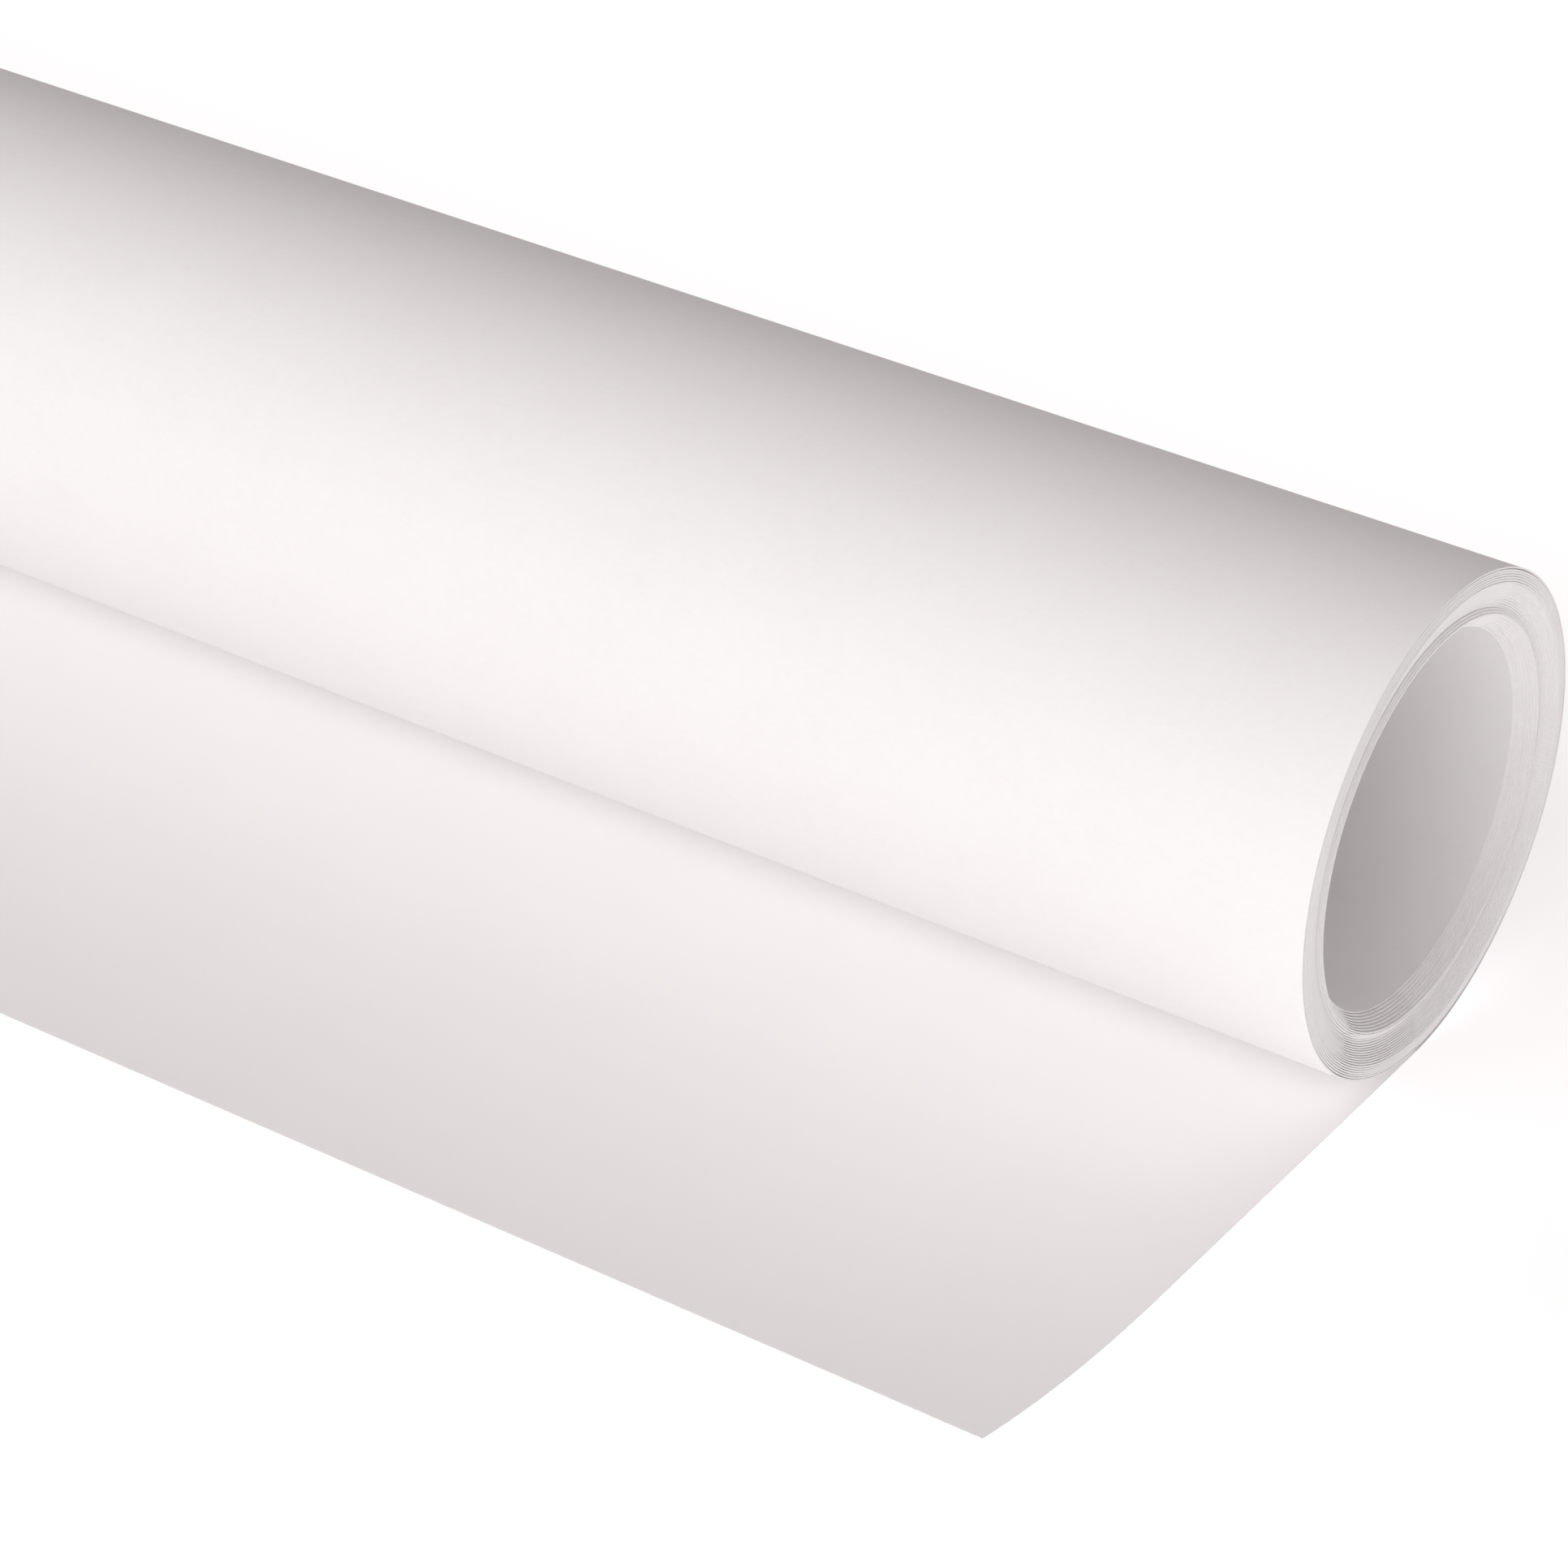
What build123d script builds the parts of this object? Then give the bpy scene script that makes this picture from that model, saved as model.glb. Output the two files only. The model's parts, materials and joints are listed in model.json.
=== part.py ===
from build123d import *
import os
from math import cos, degrees, radians, sin

# A coreless roll of white seamless backdrop paper, lying with its free end led out in front of it.
# Lengths are millimetres. The origin is on the axis of the roll, at the middle of its width:
# +X runs along the roll, the free end leads away towards -Y, and +Z is up.
# The paper is one long web. Each turn of it is a body of its own here, because the turns of a
# loose roll slide along and round each other.

# Driving dimensions
WIDTH = 1350.0           # width of the paper, which is the length of the roll
BORE_RADIUS = 30.0       # radius of the open middle
PAPER = 0.22             # thickness of the paper
PITCH = 0.33             # growth in radius from each wound turn to the next
WOUND_TURNS = 29         # turns inside the outer wrap
INNER_EDGE = 215.0       # where the web starts, in degrees from the back over the top
TURNS_PER_PACK = 10      # turns that stay together when the roll telescopes
WRAP_EASE = 0.21         # how much further out the outer wrap starts than one more pitch would
SEAM_GAP = 0.30          # clearance between the ends of two turns that can move apart
SLIP_GAP = 0.10          # clearance between the outer wrap and the leader it rolls over
FREE_LENGTH = 123.0      # from under the roll's axis to the front edge of the paper
LEADER_TUCK = 5.0        # how far the leader reaches back under the roll
LIP_RADIUS = 210.0       # radius of the curl that is left in the front of the leader
LIP_SWEEP = 12.6         # degrees that the front edge has turned up
LIP_STRIPS = 4           # strips that the curled lip bends between
LIP_GAP = 0.20           # clearance between neighbouring strips of the lip

# How far the end of each turn lies inside the end of the outer wrap: (turn, recess). A turn
# keeps its width, so it stands out by as much at the other end.
RECESS = [(1, 3.8), (9, 0.7), (12, 1.5), (24, -0.2), (29, 0.0)]

# Derived sizes
WRAP_INNER = BORE_RADIUS + WOUND_TURNS * PITCH + WRAP_EASE
WRAP_BOTTOM = WRAP_INNER + PITCH + PAPER
LEADER_TOP = -(WRAP_BOTTOM + SLIP_GAP)
LIP_START = -(FREE_LENGTH - LIP_RADIUS * sin(radians(LIP_SWEEP)))
STRIP_SWEEP = LIP_SWEEP / LIP_STRIPS
LIP_CENTRE_Z = LEADER_TOP - PAPER / 2 + LIP_RADIUS


def recess_of(turn):
    """How far one turn lies inside the end of the outer wrap, along the runs of RECESS."""
    for (first, start), (last, stop) in zip(RECESS, RECESS[1:]):
        if turn <= last:
            return start + (stop - start) * (turn - first) / (last - first)
    return RECESS[-1][1]


def around(radius, angle, centre_z=0.0):
    """A point on a circle about a centre on the Z axis, as (y, z); 0 degrees is the back."""
    return (radius * cos(radians(angle)), centre_z + radius * sin(radians(angle)))


def arc_about(radius, start, stop, centre_z=0.0):
    """An arc on a circle about a centre on the Z axis."""
    middle = (start + stop) / 2
    return ThreePointArc(
        around(radius, start, centre_z),
        around(radius, middle, centre_z),
        around(radius, stop, centre_z),
    )


def extrude_along_x(outline, start, length):
    """Turns a closed outline in the YZ plane into a solid that runs along X."""
    face = Plane.YZ * make_face(outline)
    return Pos(start, 0, 0) * extrude(face, amount=length, dir=(1, 0, 0))


def paper_turn(front_radius, recess=0.0, end_gap=0.0, first=270.0):
    """One turn of the web, from the bottom up the front, over the top and down the back.

    The front half is centred on the axis and the back half half a pitch lower, so the turn ends
    one pitch further out than it starts, where the next one goes on. first is where it starts.
    """
    back_centre = -PITCH / 2
    back_radius = front_radius + PITCH / 2
    bottom = -90.0 + degrees(end_gap / back_radius)
    inner_front = arc_about(front_radius, first, 90)
    inner_back = arc_about(back_radius, 90, bottom, back_centre)
    outer_back = arc_about(back_radius + PAPER, bottom, 90, back_centre)
    outer_front = arc_about(front_radius + PAPER, 90, first)
    outline = [
        inner_front,
        inner_back,
        Line(inner_back @ 1, outer_back @ 0),
        outer_back,
        outer_front,
        Line(outer_front @ 1, inner_front @ 0),
    ]
    return extrude_along_x(outline, -WIDTH / 2 - recess, WIDTH)


def wound_turns():
    """The turns inside the outer wrap, from the innermost out."""
    turns = {}
    for turn in range(1, WOUND_TURNS + 1):
        last_of_pack = turn % TURNS_PER_PACK == 0
        end_gap = SEAM_GAP if last_of_pack else 0.0
        first = INNER_EDGE if turn == 1 else 270.0
        radius = BORE_RADIUS + (turn - 1) * PITCH
        turns[f"turn_{turn:02d}"] = paper_turn(radius, recess_of(turn), end_gap, first)
    return turns


def leader():
    """The flat run of the free end, on the floor in front of the roll and just under it."""
    depth = LEADER_TUCK - LIP_START - LIP_GAP / 2
    plate = Box(WIDTH, depth, PAPER, align=(Align.CENTER, Align.MAX, Align.MAX))
    return Pos(0, LEADER_TUCK, LEADER_TOP) * plate


def lip_point(radius, sweep):
    """A point on the curl of the lip, as (y, z), by how far round the curl it is."""
    angle = radians(sweep)
    return (LIP_START - radius * sin(angle), LIP_CENTRE_Z - radius * cos(angle))


def lip_strip(number):
    """One of the strips that the curled front of the leader bends between."""
    half_gap = degrees(LIP_GAP / 2 / LIP_RADIUS)
    start = (number - 1) * STRIP_SWEEP + half_gap
    stop = number * STRIP_SWEEP - (half_gap if number < LIP_STRIPS else 0.0)
    middle = (start + stop) / 2
    top, under = LIP_RADIUS - PAPER / 2, LIP_RADIUS + PAPER / 2
    top_arc = ThreePointArc(lip_point(top, start), lip_point(top, middle), lip_point(top, stop))
    under_arc = ThreePointArc(
        lip_point(under, stop), lip_point(under, middle), lip_point(under, start)
    )
    outline = [
        top_arc,
        Line(top_arc @ 1, under_arc @ 0),
        under_arc,
        Line(under_arc @ 1, top_arc @ 0),
    ]
    return extrude_along_x(outline, -WIDTH / 2, WIDTH)


parts = wound_turns()
parts["outer_wrap"] = paper_turn(WRAP_INNER)
parts["leader"] = leader()
for strip in range(1, LIP_STRIPS + 1):
    parts[f"lip_strip_{strip}"] = lip_strip(strip)

os.makedirs("parts", exist_ok=True)
for name, solid in parts.items():
    solid.label = name
    export_step(solid, f"parts/{name}.step")
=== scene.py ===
import json
import math

import bpy
import numpy as np
from mathutils import Matrix, Vector

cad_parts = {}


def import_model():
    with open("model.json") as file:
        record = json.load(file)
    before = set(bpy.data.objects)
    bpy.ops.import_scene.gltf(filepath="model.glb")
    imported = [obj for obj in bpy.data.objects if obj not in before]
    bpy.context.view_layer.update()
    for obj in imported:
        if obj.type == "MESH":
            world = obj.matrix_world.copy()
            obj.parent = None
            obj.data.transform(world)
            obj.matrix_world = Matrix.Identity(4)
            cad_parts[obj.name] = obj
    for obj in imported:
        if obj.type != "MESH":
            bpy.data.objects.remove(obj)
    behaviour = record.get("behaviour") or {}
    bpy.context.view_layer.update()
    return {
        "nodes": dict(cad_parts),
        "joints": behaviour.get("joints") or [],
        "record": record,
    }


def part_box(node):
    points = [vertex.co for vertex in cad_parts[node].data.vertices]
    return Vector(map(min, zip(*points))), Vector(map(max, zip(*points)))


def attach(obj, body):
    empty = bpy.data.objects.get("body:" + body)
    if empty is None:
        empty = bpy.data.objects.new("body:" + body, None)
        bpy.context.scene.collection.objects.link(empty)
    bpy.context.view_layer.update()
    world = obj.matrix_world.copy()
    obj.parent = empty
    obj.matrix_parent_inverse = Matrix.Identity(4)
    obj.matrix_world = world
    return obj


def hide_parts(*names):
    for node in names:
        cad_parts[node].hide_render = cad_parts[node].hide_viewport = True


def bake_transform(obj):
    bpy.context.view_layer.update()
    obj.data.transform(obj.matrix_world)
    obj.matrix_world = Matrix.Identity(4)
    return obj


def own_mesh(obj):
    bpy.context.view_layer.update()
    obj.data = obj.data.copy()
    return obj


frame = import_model()

# A loosely wound roll of white backdrop paper with its free end led out in front, in metres.
MM = 0.001

# What the frame says
WRAP_LOW, WRAP_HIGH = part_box("outer_wrap")
LEADER_LOW, LEADER_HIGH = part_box("leader")
INNER_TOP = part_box("turn_01")[1].z
WIDTH = LEADER_HIGH.x - LEADER_LOW.x
PAPER = LEADER_HIGH.z - LEADER_LOW.z
LEADER_Z = (LEADER_LOW.z + LEADER_HIGH.z) / 2
TURNS = sorted(name for name in frame["nodes"] if name.startswith("turn_"))
LIPS = sorted(name for name in frame["nodes"] if name.startswith("lip_strip_"))
HINGES = {j["child"]: Vector(j["pos_m"]) for j in frame["joints"] if j["type"] == "hinge"}
NODE_BODY = {n: b for b, ns in frame["record"]["behaviour"]["bodies"].items() for n in ns}

# The winding: each turn's front half is centred on the axis and its back half half a pitch
# lower, so that it ends one pitch further out than it starts.
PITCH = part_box("turn_02")[1].z - INNER_TOP
BORE = INNER_TOP - PAPER
WRAP_RADIUS = WRAP_HIGH.z - PAPER / 2

# Looks of the winding. Angles round the roll are in degrees from the back, over the top.
TIGHT = 0.02 * MM                      # room between turns round most of their way
LOOSE = 0.11 * MM                      # room between turns where they are loosest
LOOSE_REACH = 55                       # how far to either side of there a turn is loose
EDGE_ROUND = 0.03 * MM                 # rounding of the cut edges
EDGE_ROWS = [0.0, EDGE_ROUND, 0.5 * MM, 4 * MM, 20 * MM]     # rows of points in from a cut edge
COCKLE = 0.003 * MM                    # how far a turn wanders in and out on its way round
WANDER = 0.015 * MM                    # how far its edge wanders along the roll
ARC_STEPS = 200                        # points round one turn
TURN_START, TURN_STOP = 270, -90       # a turn runs from the bottom up the front and round
TURN_SPANS = 6                         # spans along the roll in a wound turn
FACE_SPANS = 60                        # spans along the roll in the pieces whose faces show
INNER_EDGE = 215                       # where round the bore the innermost turn starts
CREASE_ANGLE = math.radians(25)        # where the mesh turns more sharply, it isn't shaded smooth
# The end of the winding: (turn, how far its edge lies inside the end of the outer wrap, in mm)
END_RELIEF = [(1, 3.8), (9, 0.7), (12, 1.5), (24, -0.2), (29.5, 0.0)]
# Where the winding has come loose, turns hang below the ones outside them: (turn, drop in mm)
END_SAG = [(11.5, 0.30), (16.5, 0.08), (24.5, 0.08), (26.5, 0.0)]
# Where round the roll each turn is loosest: (turn, degrees)
LOOSEST = [(8, 250), (10, 212), (14, 212), (16, 248), (22, 248), (24, 218)]
# The last turns spread towards the outer wrap, over the top and down the front
SPREAD = 0.14 * MM                     # how far the outermost of them moves out
FIRST_SPREAD = 24                      # the first turn that moves
SPREAD_FROM, SPREAD_TO = 5, 270        # where round the roll they do
SPREAD_RISE, SPREAD_FALL = 35, 30      # the angles over which that starts and ends
# The outer wrap
WRAP_BODY = PAPER + 0.03 * MM          # its thickness, with a little for its cockles
WRAP_WAVE = 0.03 * MM                  # size of the slow waves along it
WRAP_EASE = 0.15                       # share of its way round over which it sinks to the floor


def relief(turn):
    """How far the edge of the web lies inside the roll's end, at a place in the winding."""
    places, depths = zip(*END_RELIEF)
    return float(np.interp(turn, places, depths)) * MM


def smooth(t):
    """A step from 0 to 1 with soft ends."""
    t = np.clip(t, 0.0, 1.0)
    return t * t * (3 - 2 * t)


# ---------------------------------------------------------------- paper as a mesh


def right_of(path):
    """Unit normals of a path in the YZ plane, on the right of its direction of travel."""
    along = np.gradient(path, axis=0)
    normal = np.stack([along[:, 1], -along[:, 0]], axis=1)
    return normal / np.linalg.norm(normal, axis=1, keepdims=True)


def stations(count):
    """Places along the width: close together at both cut edges, count spans in between."""
    middle = np.linspace(EDGE_ROWS[-1], WIDTH - EDGE_ROWS[-1], count + 1)[1:-1]
    return np.array(EDGE_ROWS + list(middle) + [WIDTH - d for d in reversed(EDGE_ROWS)])


def paper_mesh(name, path, thickness, spans, shift=None, round_start=False, round_end=False,
               swell=None, face=None):
    """A closed thin sheet that follows path across the roll and keeps its width along X.

    thickness is one number or one for each point of the path. shift moves each point of the
    path towards -X. swell(path, x) gives how far the sheet moves to the right of its path's
    travel, which for the turns is towards the roll's axis. face is the material of its faces.
    """
    path = np.array(path, float)
    normal = right_of(path)
    along = stations(spans)
    rows, columns = len(path), len(along)
    shift = np.zeros(rows) if shift is None else np.array(shift, float)
    x = -WIDTH / 2 + along[None, :] - shift[:, None]
    half = np.broadcast_to(np.reshape(thickness, (-1, 1)) / 2, (rows, columns)).copy()
    half[:, [0, -1]] -= EDGE_ROUND
    if round_start:
        half[0] -= EDGE_ROUND
    if round_end:
        half[-1] -= EDGE_ROUND
    out = np.zeros((rows, columns)) if swell is None else swell(path, x)
    vertices = []
    for side in (1, -1):
        away = (out + side * half)[:, :, None]
        yz = path[:, None, :] + away * normal[:, None, :]
        vertices.append(np.dstack([x, yz]).reshape(-1, 3))
    vertices = np.concatenate(vertices)

    def index(side, i, j):
        return side * rows * columns + i * columns + j

    faces, cut = [], []
    for i in range(rows - 1):
        for j in range(columns - 1):
            a, b = index(0, i, j), index(0, i + 1, j)
            c, d = index(0, i + 1, j + 1), index(0, i, j + 1)
            faces.append((a, b, c, d))
            under = rows * columns
            faces.append((a + under, d + under, c + under, b + under))
            edge = j in (0, columns - 2)
            cut += [edge, edge]
    for i in range(rows - 1):
        for j, flip in ((0, False), (columns - 1, True)):
            quad = [index(0, i, j), index(1, i, j), index(1, i + 1, j), index(0, i + 1, j)]
            faces.append(tuple(reversed(quad)) if flip else tuple(quad))
            cut.append(True)
    for j in range(columns - 1):
        for i, flip in ((0, True), (rows - 1, False)):
            quad = [index(0, i, j), index(1, i, j), index(1, i, j + 1), index(0, i, j + 1)]
            faces.append(tuple(reversed(quad)) if flip else tuple(quad))
            cut.append(True)
    mesh = bpy.data.meshes.new(name)
    mesh.from_pydata(vertices.tolist(), [], faces)
    mesh.polygons.foreach_set("use_smooth", [not c for c in cut])
    mesh.polygons.foreach_set("material_index", [int(c) for c in cut])
    mesh.update()
    mesh.set_sharp_from_angle(angle=CREASE_ANGLE)
    piece = bpy.data.objects.new(name, mesh)
    bpy.context.collection.objects.link(piece)
    for material in (face or PAPER_FACE, PAPER_CUT):
        mesh.materials.append(material)
    return piece


# ---------------------------------------------------------------- materials

TABLE_LIGHT = (1, 0.96, 0.97, 1)       # colour of the light from the table
PAINTED_GLOW = 0.11                   # how brightly the free end glows in it: painted light, as if the table shone up through the paper


def new_material(name):
    """A material with its nodes, links, shader and texture coordinates."""
    material = bpy.data.materials.new(name)
    material.use_nodes = True
    nodes, links = material.node_tree.nodes, material.node_tree.links
    shader = nodes["Principled BSDF"]
    place = nodes.new("ShaderNodeTexCoord")
    return nodes, links, shader, place, material


def noise(nodes, links, place, scale, detail=3.0, stretch=(1, 1, 1), roughness=0.55):
    """A noise texture in the row frame, stretched along the axes."""
    mapping = nodes.new("ShaderNodeMapping")
    mapping.inputs["Scale"].default_value = stretch
    links.new(place.outputs["Object"], mapping.inputs["Vector"])
    texture = nodes.new("ShaderNodeTexNoise")
    texture.inputs["Scale"].default_value = scale
    texture.inputs["Detail"].default_value = detail
    texture.inputs["Roughness"].default_value = roughness
    links.new(mapping.outputs["Vector"], texture.inputs["Vector"])
    return texture.outputs["Fac"]


def ramp(nodes, links, value, stops):
    """A colour ramp through (position, colour) stops."""
    node = nodes.new("ShaderNodeValToRGB")
    elements = node.color_ramp.elements
    for element, (position, color) in zip(elements, (stops[0], stops[-1])):
        element.position, element.color = position, (*color, 1)
    for position, color in stops[1:-1]:
        elements.new(position).color = (*color, 1)
    links.new(value, node.inputs["Fac"])
    return node.outputs["Color"]


def mix_values(nodes, links, a, b, share):
    """a and b mixed as numbers, share of b."""
    node = nodes.new("ShaderNodeMix")
    node.inputs["Factor"].default_value = share
    links.new(a, node.inputs["A"])
    links.new(b, node.inputs["B"])
    return node.outputs["Result"]


def span(nodes, links, value, low, high, start=0.0, stop=1.0):
    """A value that goes from start to stop, as one that goes from low to high."""
    node = nodes.new("ShaderNodeMapRange")
    node.inputs["From Min"].default_value = start
    node.inputs["From Max"].default_value = stop
    node.inputs["To Min"].default_value = low
    node.inputs["To Max"].default_value = high
    links.new(value, node.inputs["Value"])
    return node.outputs["Result"]


def bump(nodes, links, shader, height, distance, strength):
    """Bumps on the shader's surface, distance high at full strength."""
    node = nodes.new("ShaderNodeBump")
    node.inputs["Distance"].default_value = distance
    node.inputs["Strength"].default_value = strength
    links.new(height, node.inputs["Height"])
    links.new(node.outputs["Normal"], shader.inputs["Normal"])


def paper_face(name, painted_glow=0.0):
    """Matt white paper: faint cloudy formation, a fine fibre grain and a felt-side bump.

    painted_glow is how brightly the paper glows: painted light, as if a lit table shone up through
    it.
    """
    nodes, links, shader, place, material = new_material(name)
    cloud = noise(nodes, links, place, 55, detail=4)
    fibre = noise(nodes, links, place, 2200, detail=3, stretch=(0.4, 1, 1))
    speck = noise(nodes, links, place, 420, detail=2)
    tone = mix_values(nodes, links, cloud, mix_values(nodes, links, fibre, speck, 0.35), 0.65)
    color = ramp(nodes, links, tone, [
        (0.30, (0.918, 0.886, 0.888)),
        (0.50, (0.950, 0.922, 0.923)),
        (0.70, (0.974, 0.950, 0.951)),
    ])
    links.new(color, shader.inputs["Base Color"])
    links.new(span(nodes, links, speck, 0.78, 0.95), shader.inputs["Roughness"])
    shader.inputs["Specular IOR Level"].default_value = 0.25
    shader.inputs["Sheen Weight"].default_value = 0.06
    shader.inputs["Sheen Roughness"].default_value = 0.5
    shader.inputs["Emission Color"].default_value = TABLE_LIGHT
    # painted light: the paper glows a little, as if lit from beneath
    shader.inputs["Emission Strength"].default_value = painted_glow
    bump(nodes, links, shader, mix_values(nodes, links, fibre, speck, 0.5), 0.03 * MM, 0.35)
    return material


def paper_cut():
    """The cut edge of the paper: a little darker than the faces, as painted shade on the roll's
    end, with torn fibres and some handling dust.
    """
    nodes, links, shader, place, material = new_material("paper_cut")
    fibre = noise(nodes, links, place, 2600, detail=3)
    dust = noise(nodes, links, place, 160, detail=3)
    tone = mix_values(nodes, links, fibre, dust, 0.5)
    # darker than the faces' colours: painted shade on the roll's end
    color = ramp(nodes, links, tone, [
        (0.28, (0.850, 0.826, 0.827)),
        (0.48, (0.908, 0.883, 0.884)),
        (0.72, (0.936, 0.912, 0.912)),
    ])
    links.new(color, shader.inputs["Base Color"])
    links.new(span(nodes, links, fibre, 0.85, 1.0), shader.inputs["Roughness"])
    shader.inputs["Specular IOR Level"].default_value = 0.15
    bump(nodes, links, shader, fibre, 0.03 * MM, 0.3)
    return material


PAPER_FACE = paper_face("paper_face")
# a copy of the paper that glows a little: painted light for the free end on the lit table
PAPER_PAINTED_GLOW = paper_face("paper_painted_glow", painted_glow=PAINTED_GLOW)
PAPER_CUT = paper_cut()

# ---------------------------------------------------------------- the winding


def turn_path(front_radius, steps, start=TURN_START):
    """Mid-surface points of one turn, from the bottom up the front, over and down the back."""
    angle = np.linspace(start, TURN_STOP, steps + 1)
    back = angle < 90
    radius = np.where(back, front_radius + PITCH / 2, front_radius)
    centre = np.where(back, -PITCH / 2, 0.0)
    turned = np.radians(angle)
    return np.stack([radius * np.cos(turned), centre + radius * np.sin(turned)], axis=1)


def sag(turn):
    """How far below its place the top of a turn hangs, at a place in the winding."""
    places, drops = zip(*END_SAG)
    return np.interp(turn, places, drops) * MM


def spread(number, angle):
    """How far a turn near the outside bulges out over the top and down the front."""
    share = max(0, number - FIRST_SPREAD + 1) / (len(TURNS) - FIRST_SPREAD + 1)
    start = smooth((angle - SPREAD_FROM) / SPREAD_RISE)
    stop = smooth((SPREAD_TO - angle) / SPREAD_FALL)
    return SPREAD * share * start * stop


def fullness(number, angle):
    """How much of its pitch a turn takes up, cockles and all: most of it but where it is loose."""
    loosest = np.interp(number, *zip(*LOOSEST))
    loose = smooth(1 - np.abs(angle - loosest) / LOOSE_REACH)
    return PITCH - TIGHT - (LOOSE - TIGHT) * loose


def wound_turn(number):
    """A turn inside the outer wrap, with its edges where they lie in the stepped end.

    It wanders in and out, and along the roll, by two slow waves each. Their phases follow its
    number, so that neighbours differ.
    """
    node = f"turn_{number:02d}"
    start = INNER_EDGE if number == 1 else TURN_START
    path = turn_path(BORE + (number - 1) * PITCH + PAPER / 2, ARC_STEPS, start)
    angle = np.linspace(start, TURN_STOP, len(path))
    progress = (TURN_START - angle) / 360
    place = number - 0.5 + progress
    round_about = 2 * math.pi * progress
    ripple = np.sin(3 * round_about + 1.9 * number) + np.sin(7 * round_about + 4.1 * number)
    path = path - right_of(path) * (COCKLE * ripple + spread(number, angle))[:, None]
    path[:, 1] -= sag(place) * smooth((path[:, 1] / WRAP_RADIUS + 1) / 2)
    wander = np.sin(2 * round_about + 2.3 * number) + 0.6 * np.sin(5 * round_about + number)
    shift = [relief(p) for p in place] + WANDER * wander
    last_of_pack = NODE_BODY[node] != NODE_BODY.get(f"turn_{number + 1:02d}")
    first_of_pack = NODE_BODY[node] != NODE_BODY.get(f"turn_{number - 1:02d}")
    piece = paper_mesh(node + "_paper", path, fullness(number, angle), TURN_SPANS, shift,
                       round_start=first_of_pack, round_end=last_of_pack)
    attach(piece, NODE_BODY[node])
    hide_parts(node)


for turn_number in range(1, len(TURNS) + 1):
    wound_turn(turn_number)


def slack(path, x):
    """The long slow waves that loose paper takes along a roll, away from the turns inside it."""
    waves = np.sin(x * 9.0 + 0.6) + 0.6 * np.sin(x * 23.0 + 2.0) + 1.6
    height = smooth((path[:, 1] - WRAP_LOW.z) / (WRAP_HIGH.z - WRAP_LOW.z))
    return -WRAP_WAVE * waves * height[:, None]


def outer_wrap():
    """The outermost turn, easing down at the back to run into the leader."""
    steps = 2 * ARC_STEPS
    path = turn_path(WRAP_RADIUS - (WRAP_BODY - PAPER) / 2, steps)
    left_to_go = np.linspace(1, 0, steps + 1)
    drop = path[-1, 1] - LEADER_Z
    path[:, 1] -= drop * smooth(1 - left_to_go / WRAP_EASE)
    piece = paper_mesh("outer_wrap_paper", path, WRAP_BODY, FACE_SPANS, round_start=True,
                       swell=slack)
    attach(piece, "outer_wrap")
    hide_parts("outer_wrap")


outer_wrap()

# ---------------------------------------------------------------- the free end

HINGE_LINE = [HINGES[f"lip_{n}"] for n in range(1, len(LIPS) + 1)]
STRIP = (HINGE_LINE[1] - HINGE_LINE[0]).length
LIP_START = HINGE_LINE[0].y
# The lip's circle touches the floor paper at the first hinge and passes through the second
LIP_RADIUS = STRIP**2 / 2 / (HINGE_LINE[1].z - HINGE_LINE[0].z)
FREE_LIMIT = STRIP * len(LIPS)
LEADER_FRONT = STRIP / 2        # the flat piece stops this far behind the first hinge
LEADER_ROWS = 25                # rows of points along the flat piece
LIP_STEPS = 10                  # steps along each piece of the lip


def lip_points(start, stop):
    """Mid-surface points of the free end, by the distance past the first hinge line."""
    along = np.linspace(start, stop, LIP_STEPS + 1)
    bent = np.maximum(along, 0) / LIP_RADIUS
    y = LIP_START - np.where(along < 0, along, LIP_RADIUS * np.sin(bent))
    z = LEADER_Z + LIP_RADIUS * (1 - np.cos(bent))
    return np.stack([y, z], axis=1)


def leader():
    """The flat run of the free end, which shortens as the roll takes it up."""
    front = LIP_START + LEADER_FRONT
    y = np.linspace(0.0, front, LEADER_ROWS)
    path = np.stack([y, np.full_like(y, LEADER_Z)], axis=1)
    # the flat run glows a little: painted light
    piece = paper_mesh("leader_paper", path, PAPER, FACE_SPANS, face=PAPER_PAINTED_GLOW)
    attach(piece, "leader")
    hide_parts("leader")
    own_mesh(piece)


def lip(number):
    """The stretch of the free end about one hinge line of the lip."""
    last = number == len(LIPS)
    start = (number - 1.5) * STRIP
    stop = FREE_LIMIT if last else (number - 0.5) * STRIP
    path = lip_points(start, stop)
    # each piece of the lip glows a little: painted light
    piece = paper_mesh(f"lip_{number}_paper", path, PAPER, FACE_SPANS, round_end=last,
                       face=PAPER_PAINTED_GLOW)
    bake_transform(piece)
    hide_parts(f"lip_strip_{number}")


leader()
for lip_number in range(1, len(LIPS) + 1):
    lip(lip_number)

# ---------------------------------------------------------------- floor, light and camera

RADIUS = -WRAP_LOW.y
# What the camera and the lights point at
LOOK_AT = Vector((LEADER_HIGH.x - 3.015 * RADIUS, 0.163 * RADIUS, -RADIUS))
FLOOR_REACH = 40.0                     # the floor runs this far each way from the roll
FLOOR_GAP = 0.02 * MM                  # and lies this far below the free end
FLOOR_GLOW = (0.56, 0.95)              # how much it glows beside the roll and well away from it: the dimmer glow by the roll lights the roll less and paints shade around it
GLOW_FROM, GLOW_TO = RADIUS, 8 * RADIUS     # where it starts and ends getting brighter
# Tints of the lights
WHITE = (1.0, 0.965, 0.965)
WARM = (1.0, 0.85, 0.7)
ROSE = (1.0, 0.89, 0.92)
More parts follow.
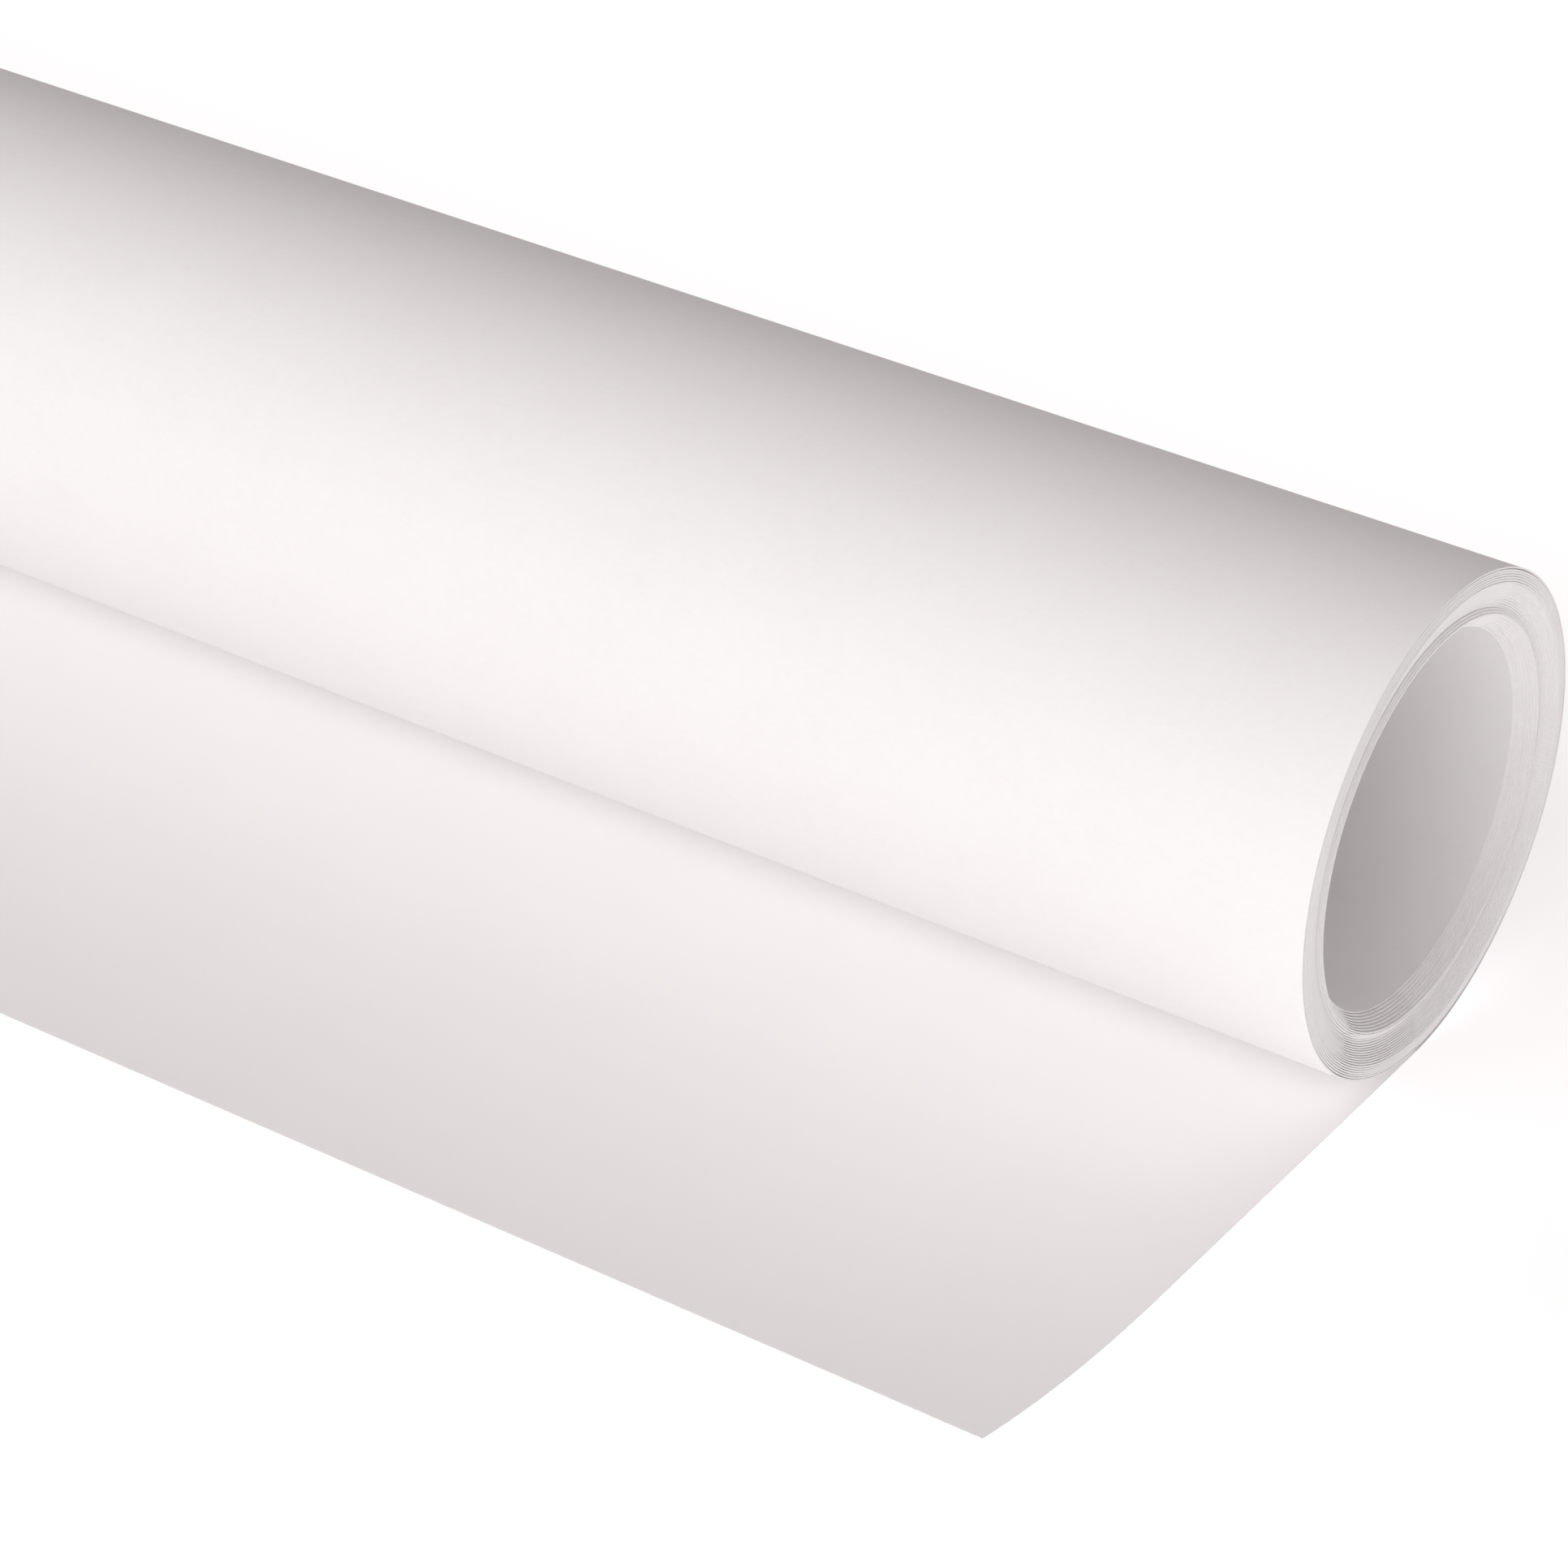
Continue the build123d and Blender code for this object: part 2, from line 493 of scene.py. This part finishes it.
# The soft lights: (name, azimuth, elevation, distance, size, power, tint)
LIGHTS = [
    ("key", -20, 40, 2.6, 1.6, 16.8, WHITE),
    ("low", -10, 22, 2.6, 1.6, 5.0, WHITE),
    ("front", 10, 33, 1.3, 0.8, 5.0, WHITE),
    ("top", 0, 85, 2.6, 1.6, 4.6, WARM),
    ("side", 110, 16, 2.6, 1.6, 7.0, ROSE),
]


def floor():
    """A white table that glows, less so by the roll, like a lit table top for packshots; the
    dimmer glow by the roll is painted shade around it.
    """
    mesh = bpy.data.meshes.new("floor")
    reach, level = FLOOR_REACH, LEADER_LOW.z - FLOOR_GAP
    corners = [(-reach, -reach, level), (reach, -reach, level), (reach, reach, level),
               (-reach, reach, level)]
    mesh.from_pydata(corners, [], [(0, 1, 2, 3)])
    plane = bpy.data.objects.new("floor", mesh)
    bpy.context.collection.objects.link(plane)
    nodes, links, shader, place, material = new_material("floor_white")
    shader.inputs["Base Color"].default_value = (0.95, 0.95, 0.95, 1)
    shader.inputs["Roughness"].default_value = 1.0
    shader.inputs["Specular IOR Level"].default_value = 0.0
    shader.inputs["Emission Color"].default_value = TABLE_LIGHT
    split = nodes.new("ShaderNodeSeparateXYZ")
    links.new(place.outputs["Object"], split.inputs["Vector"])
    away = nodes.new("ShaderNodeMath")
    away.operation = "ABSOLUTE"
    links.new(split.outputs["Y"], away.inputs[0])
    # dimmer glow near the roll's axis line: painted shade around the roll
    glow = span(nodes, links, away.outputs["Value"], *FLOOR_GLOW, start=GLOW_FROM, stop=GLOW_TO)
    links.new(glow, shader.inputs["Emission Strength"])
    mesh.materials.append(material)


def world():
    """A pale horizon that darkens overhead, like a cove lit from below."""
    surroundings = bpy.data.worlds.new("studio")
    surroundings.use_nodes = True
    nodes, links = surroundings.node_tree.nodes, surroundings.node_tree.links
    place = nodes.new("ShaderNodeTexCoord")
    split = nodes.new("ShaderNodeSeparateXYZ")
    links.new(place.outputs["Generated"], split.inputs["Vector"])
    color = ramp(nodes, links, split.outputs["Z"], [
        (0.00, (0.95, 0.95, 0.95)),
        (0.05, (0.35, 0.35, 0.35)),
        (0.13, (0.03, 0.03, 0.03)),
    ])
    links.new(color, nodes["Background"].inputs["Color"])
    bpy.context.scene.world = surroundings


def softbox(name, azimuth, elevation, distance, size, power, tint):
    """A square soft light aimed where the camera looks, and which the camera doesn't see.

    azimuth is from the front towards +X, and both angles are in degrees.
    """
    side, rise = math.radians(azimuth), math.radians(elevation)
    towards = Vector((math.sin(side) * math.cos(rise), -math.cos(side) * math.cos(rise),
                      math.sin(rise)))
    lamp = bpy.data.lights.new(name, "AREA")
    lamp.shape, lamp.size, lamp.energy, lamp.color = "SQUARE", size, power, tint
    light = bpy.data.objects.new(name, lamp)
    light.location = LOOK_AT + towards * distance
    light.rotation_euler = towards.to_track_quat("Z", "Y").to_euler()
    light.visible_camera = False
    bpy.context.collection.objects.link(light)


# The camera looks down on the roll's right-hand end from the front
AZIMUTH, ELEVATION, ROLL = (math.radians(a) for a in (33.43, 31.78, 1.393))
DISTANCE = 22.64 * RADIUS
LENS, SENSOR = 127.5, 36.0


def camera():
    """The camera, level but for ROLL."""
    data = bpy.data.cameras.new("camera")
    data.lens, data.sensor_width = LENS, SENSOR
    eye = bpy.data.objects.new("camera", data)
    back = Vector((math.sin(AZIMUTH) * math.cos(ELEVATION),
                   -math.cos(AZIMUTH) * math.cos(ELEVATION),
                   math.sin(ELEVATION)))
    right = Vector((math.cos(AZIMUTH), math.sin(AZIMUTH), 0))
    up = back.cross(right)
    rolled_right = right * math.cos(ROLL) + up * math.sin(ROLL)
    rolled_up = up * math.cos(ROLL) - right * math.sin(ROLL)
    turn = Matrix((rolled_right, rolled_up, back)).transposed().to_4x4()
    eye.matrix_world = Matrix.Translation(LOOK_AT + back * DISTANCE) @ turn
    bpy.context.collection.objects.link(eye)
    bpy.context.scene.camera = eye


floor()
world()
for light_facts in LIGHTS:
    softbox(*light_facts)
camera()
view = bpy.context.scene.view_settings
view.view_transform = "Standard"
view.gamma = 1.5               # a soft, high-key print of the light
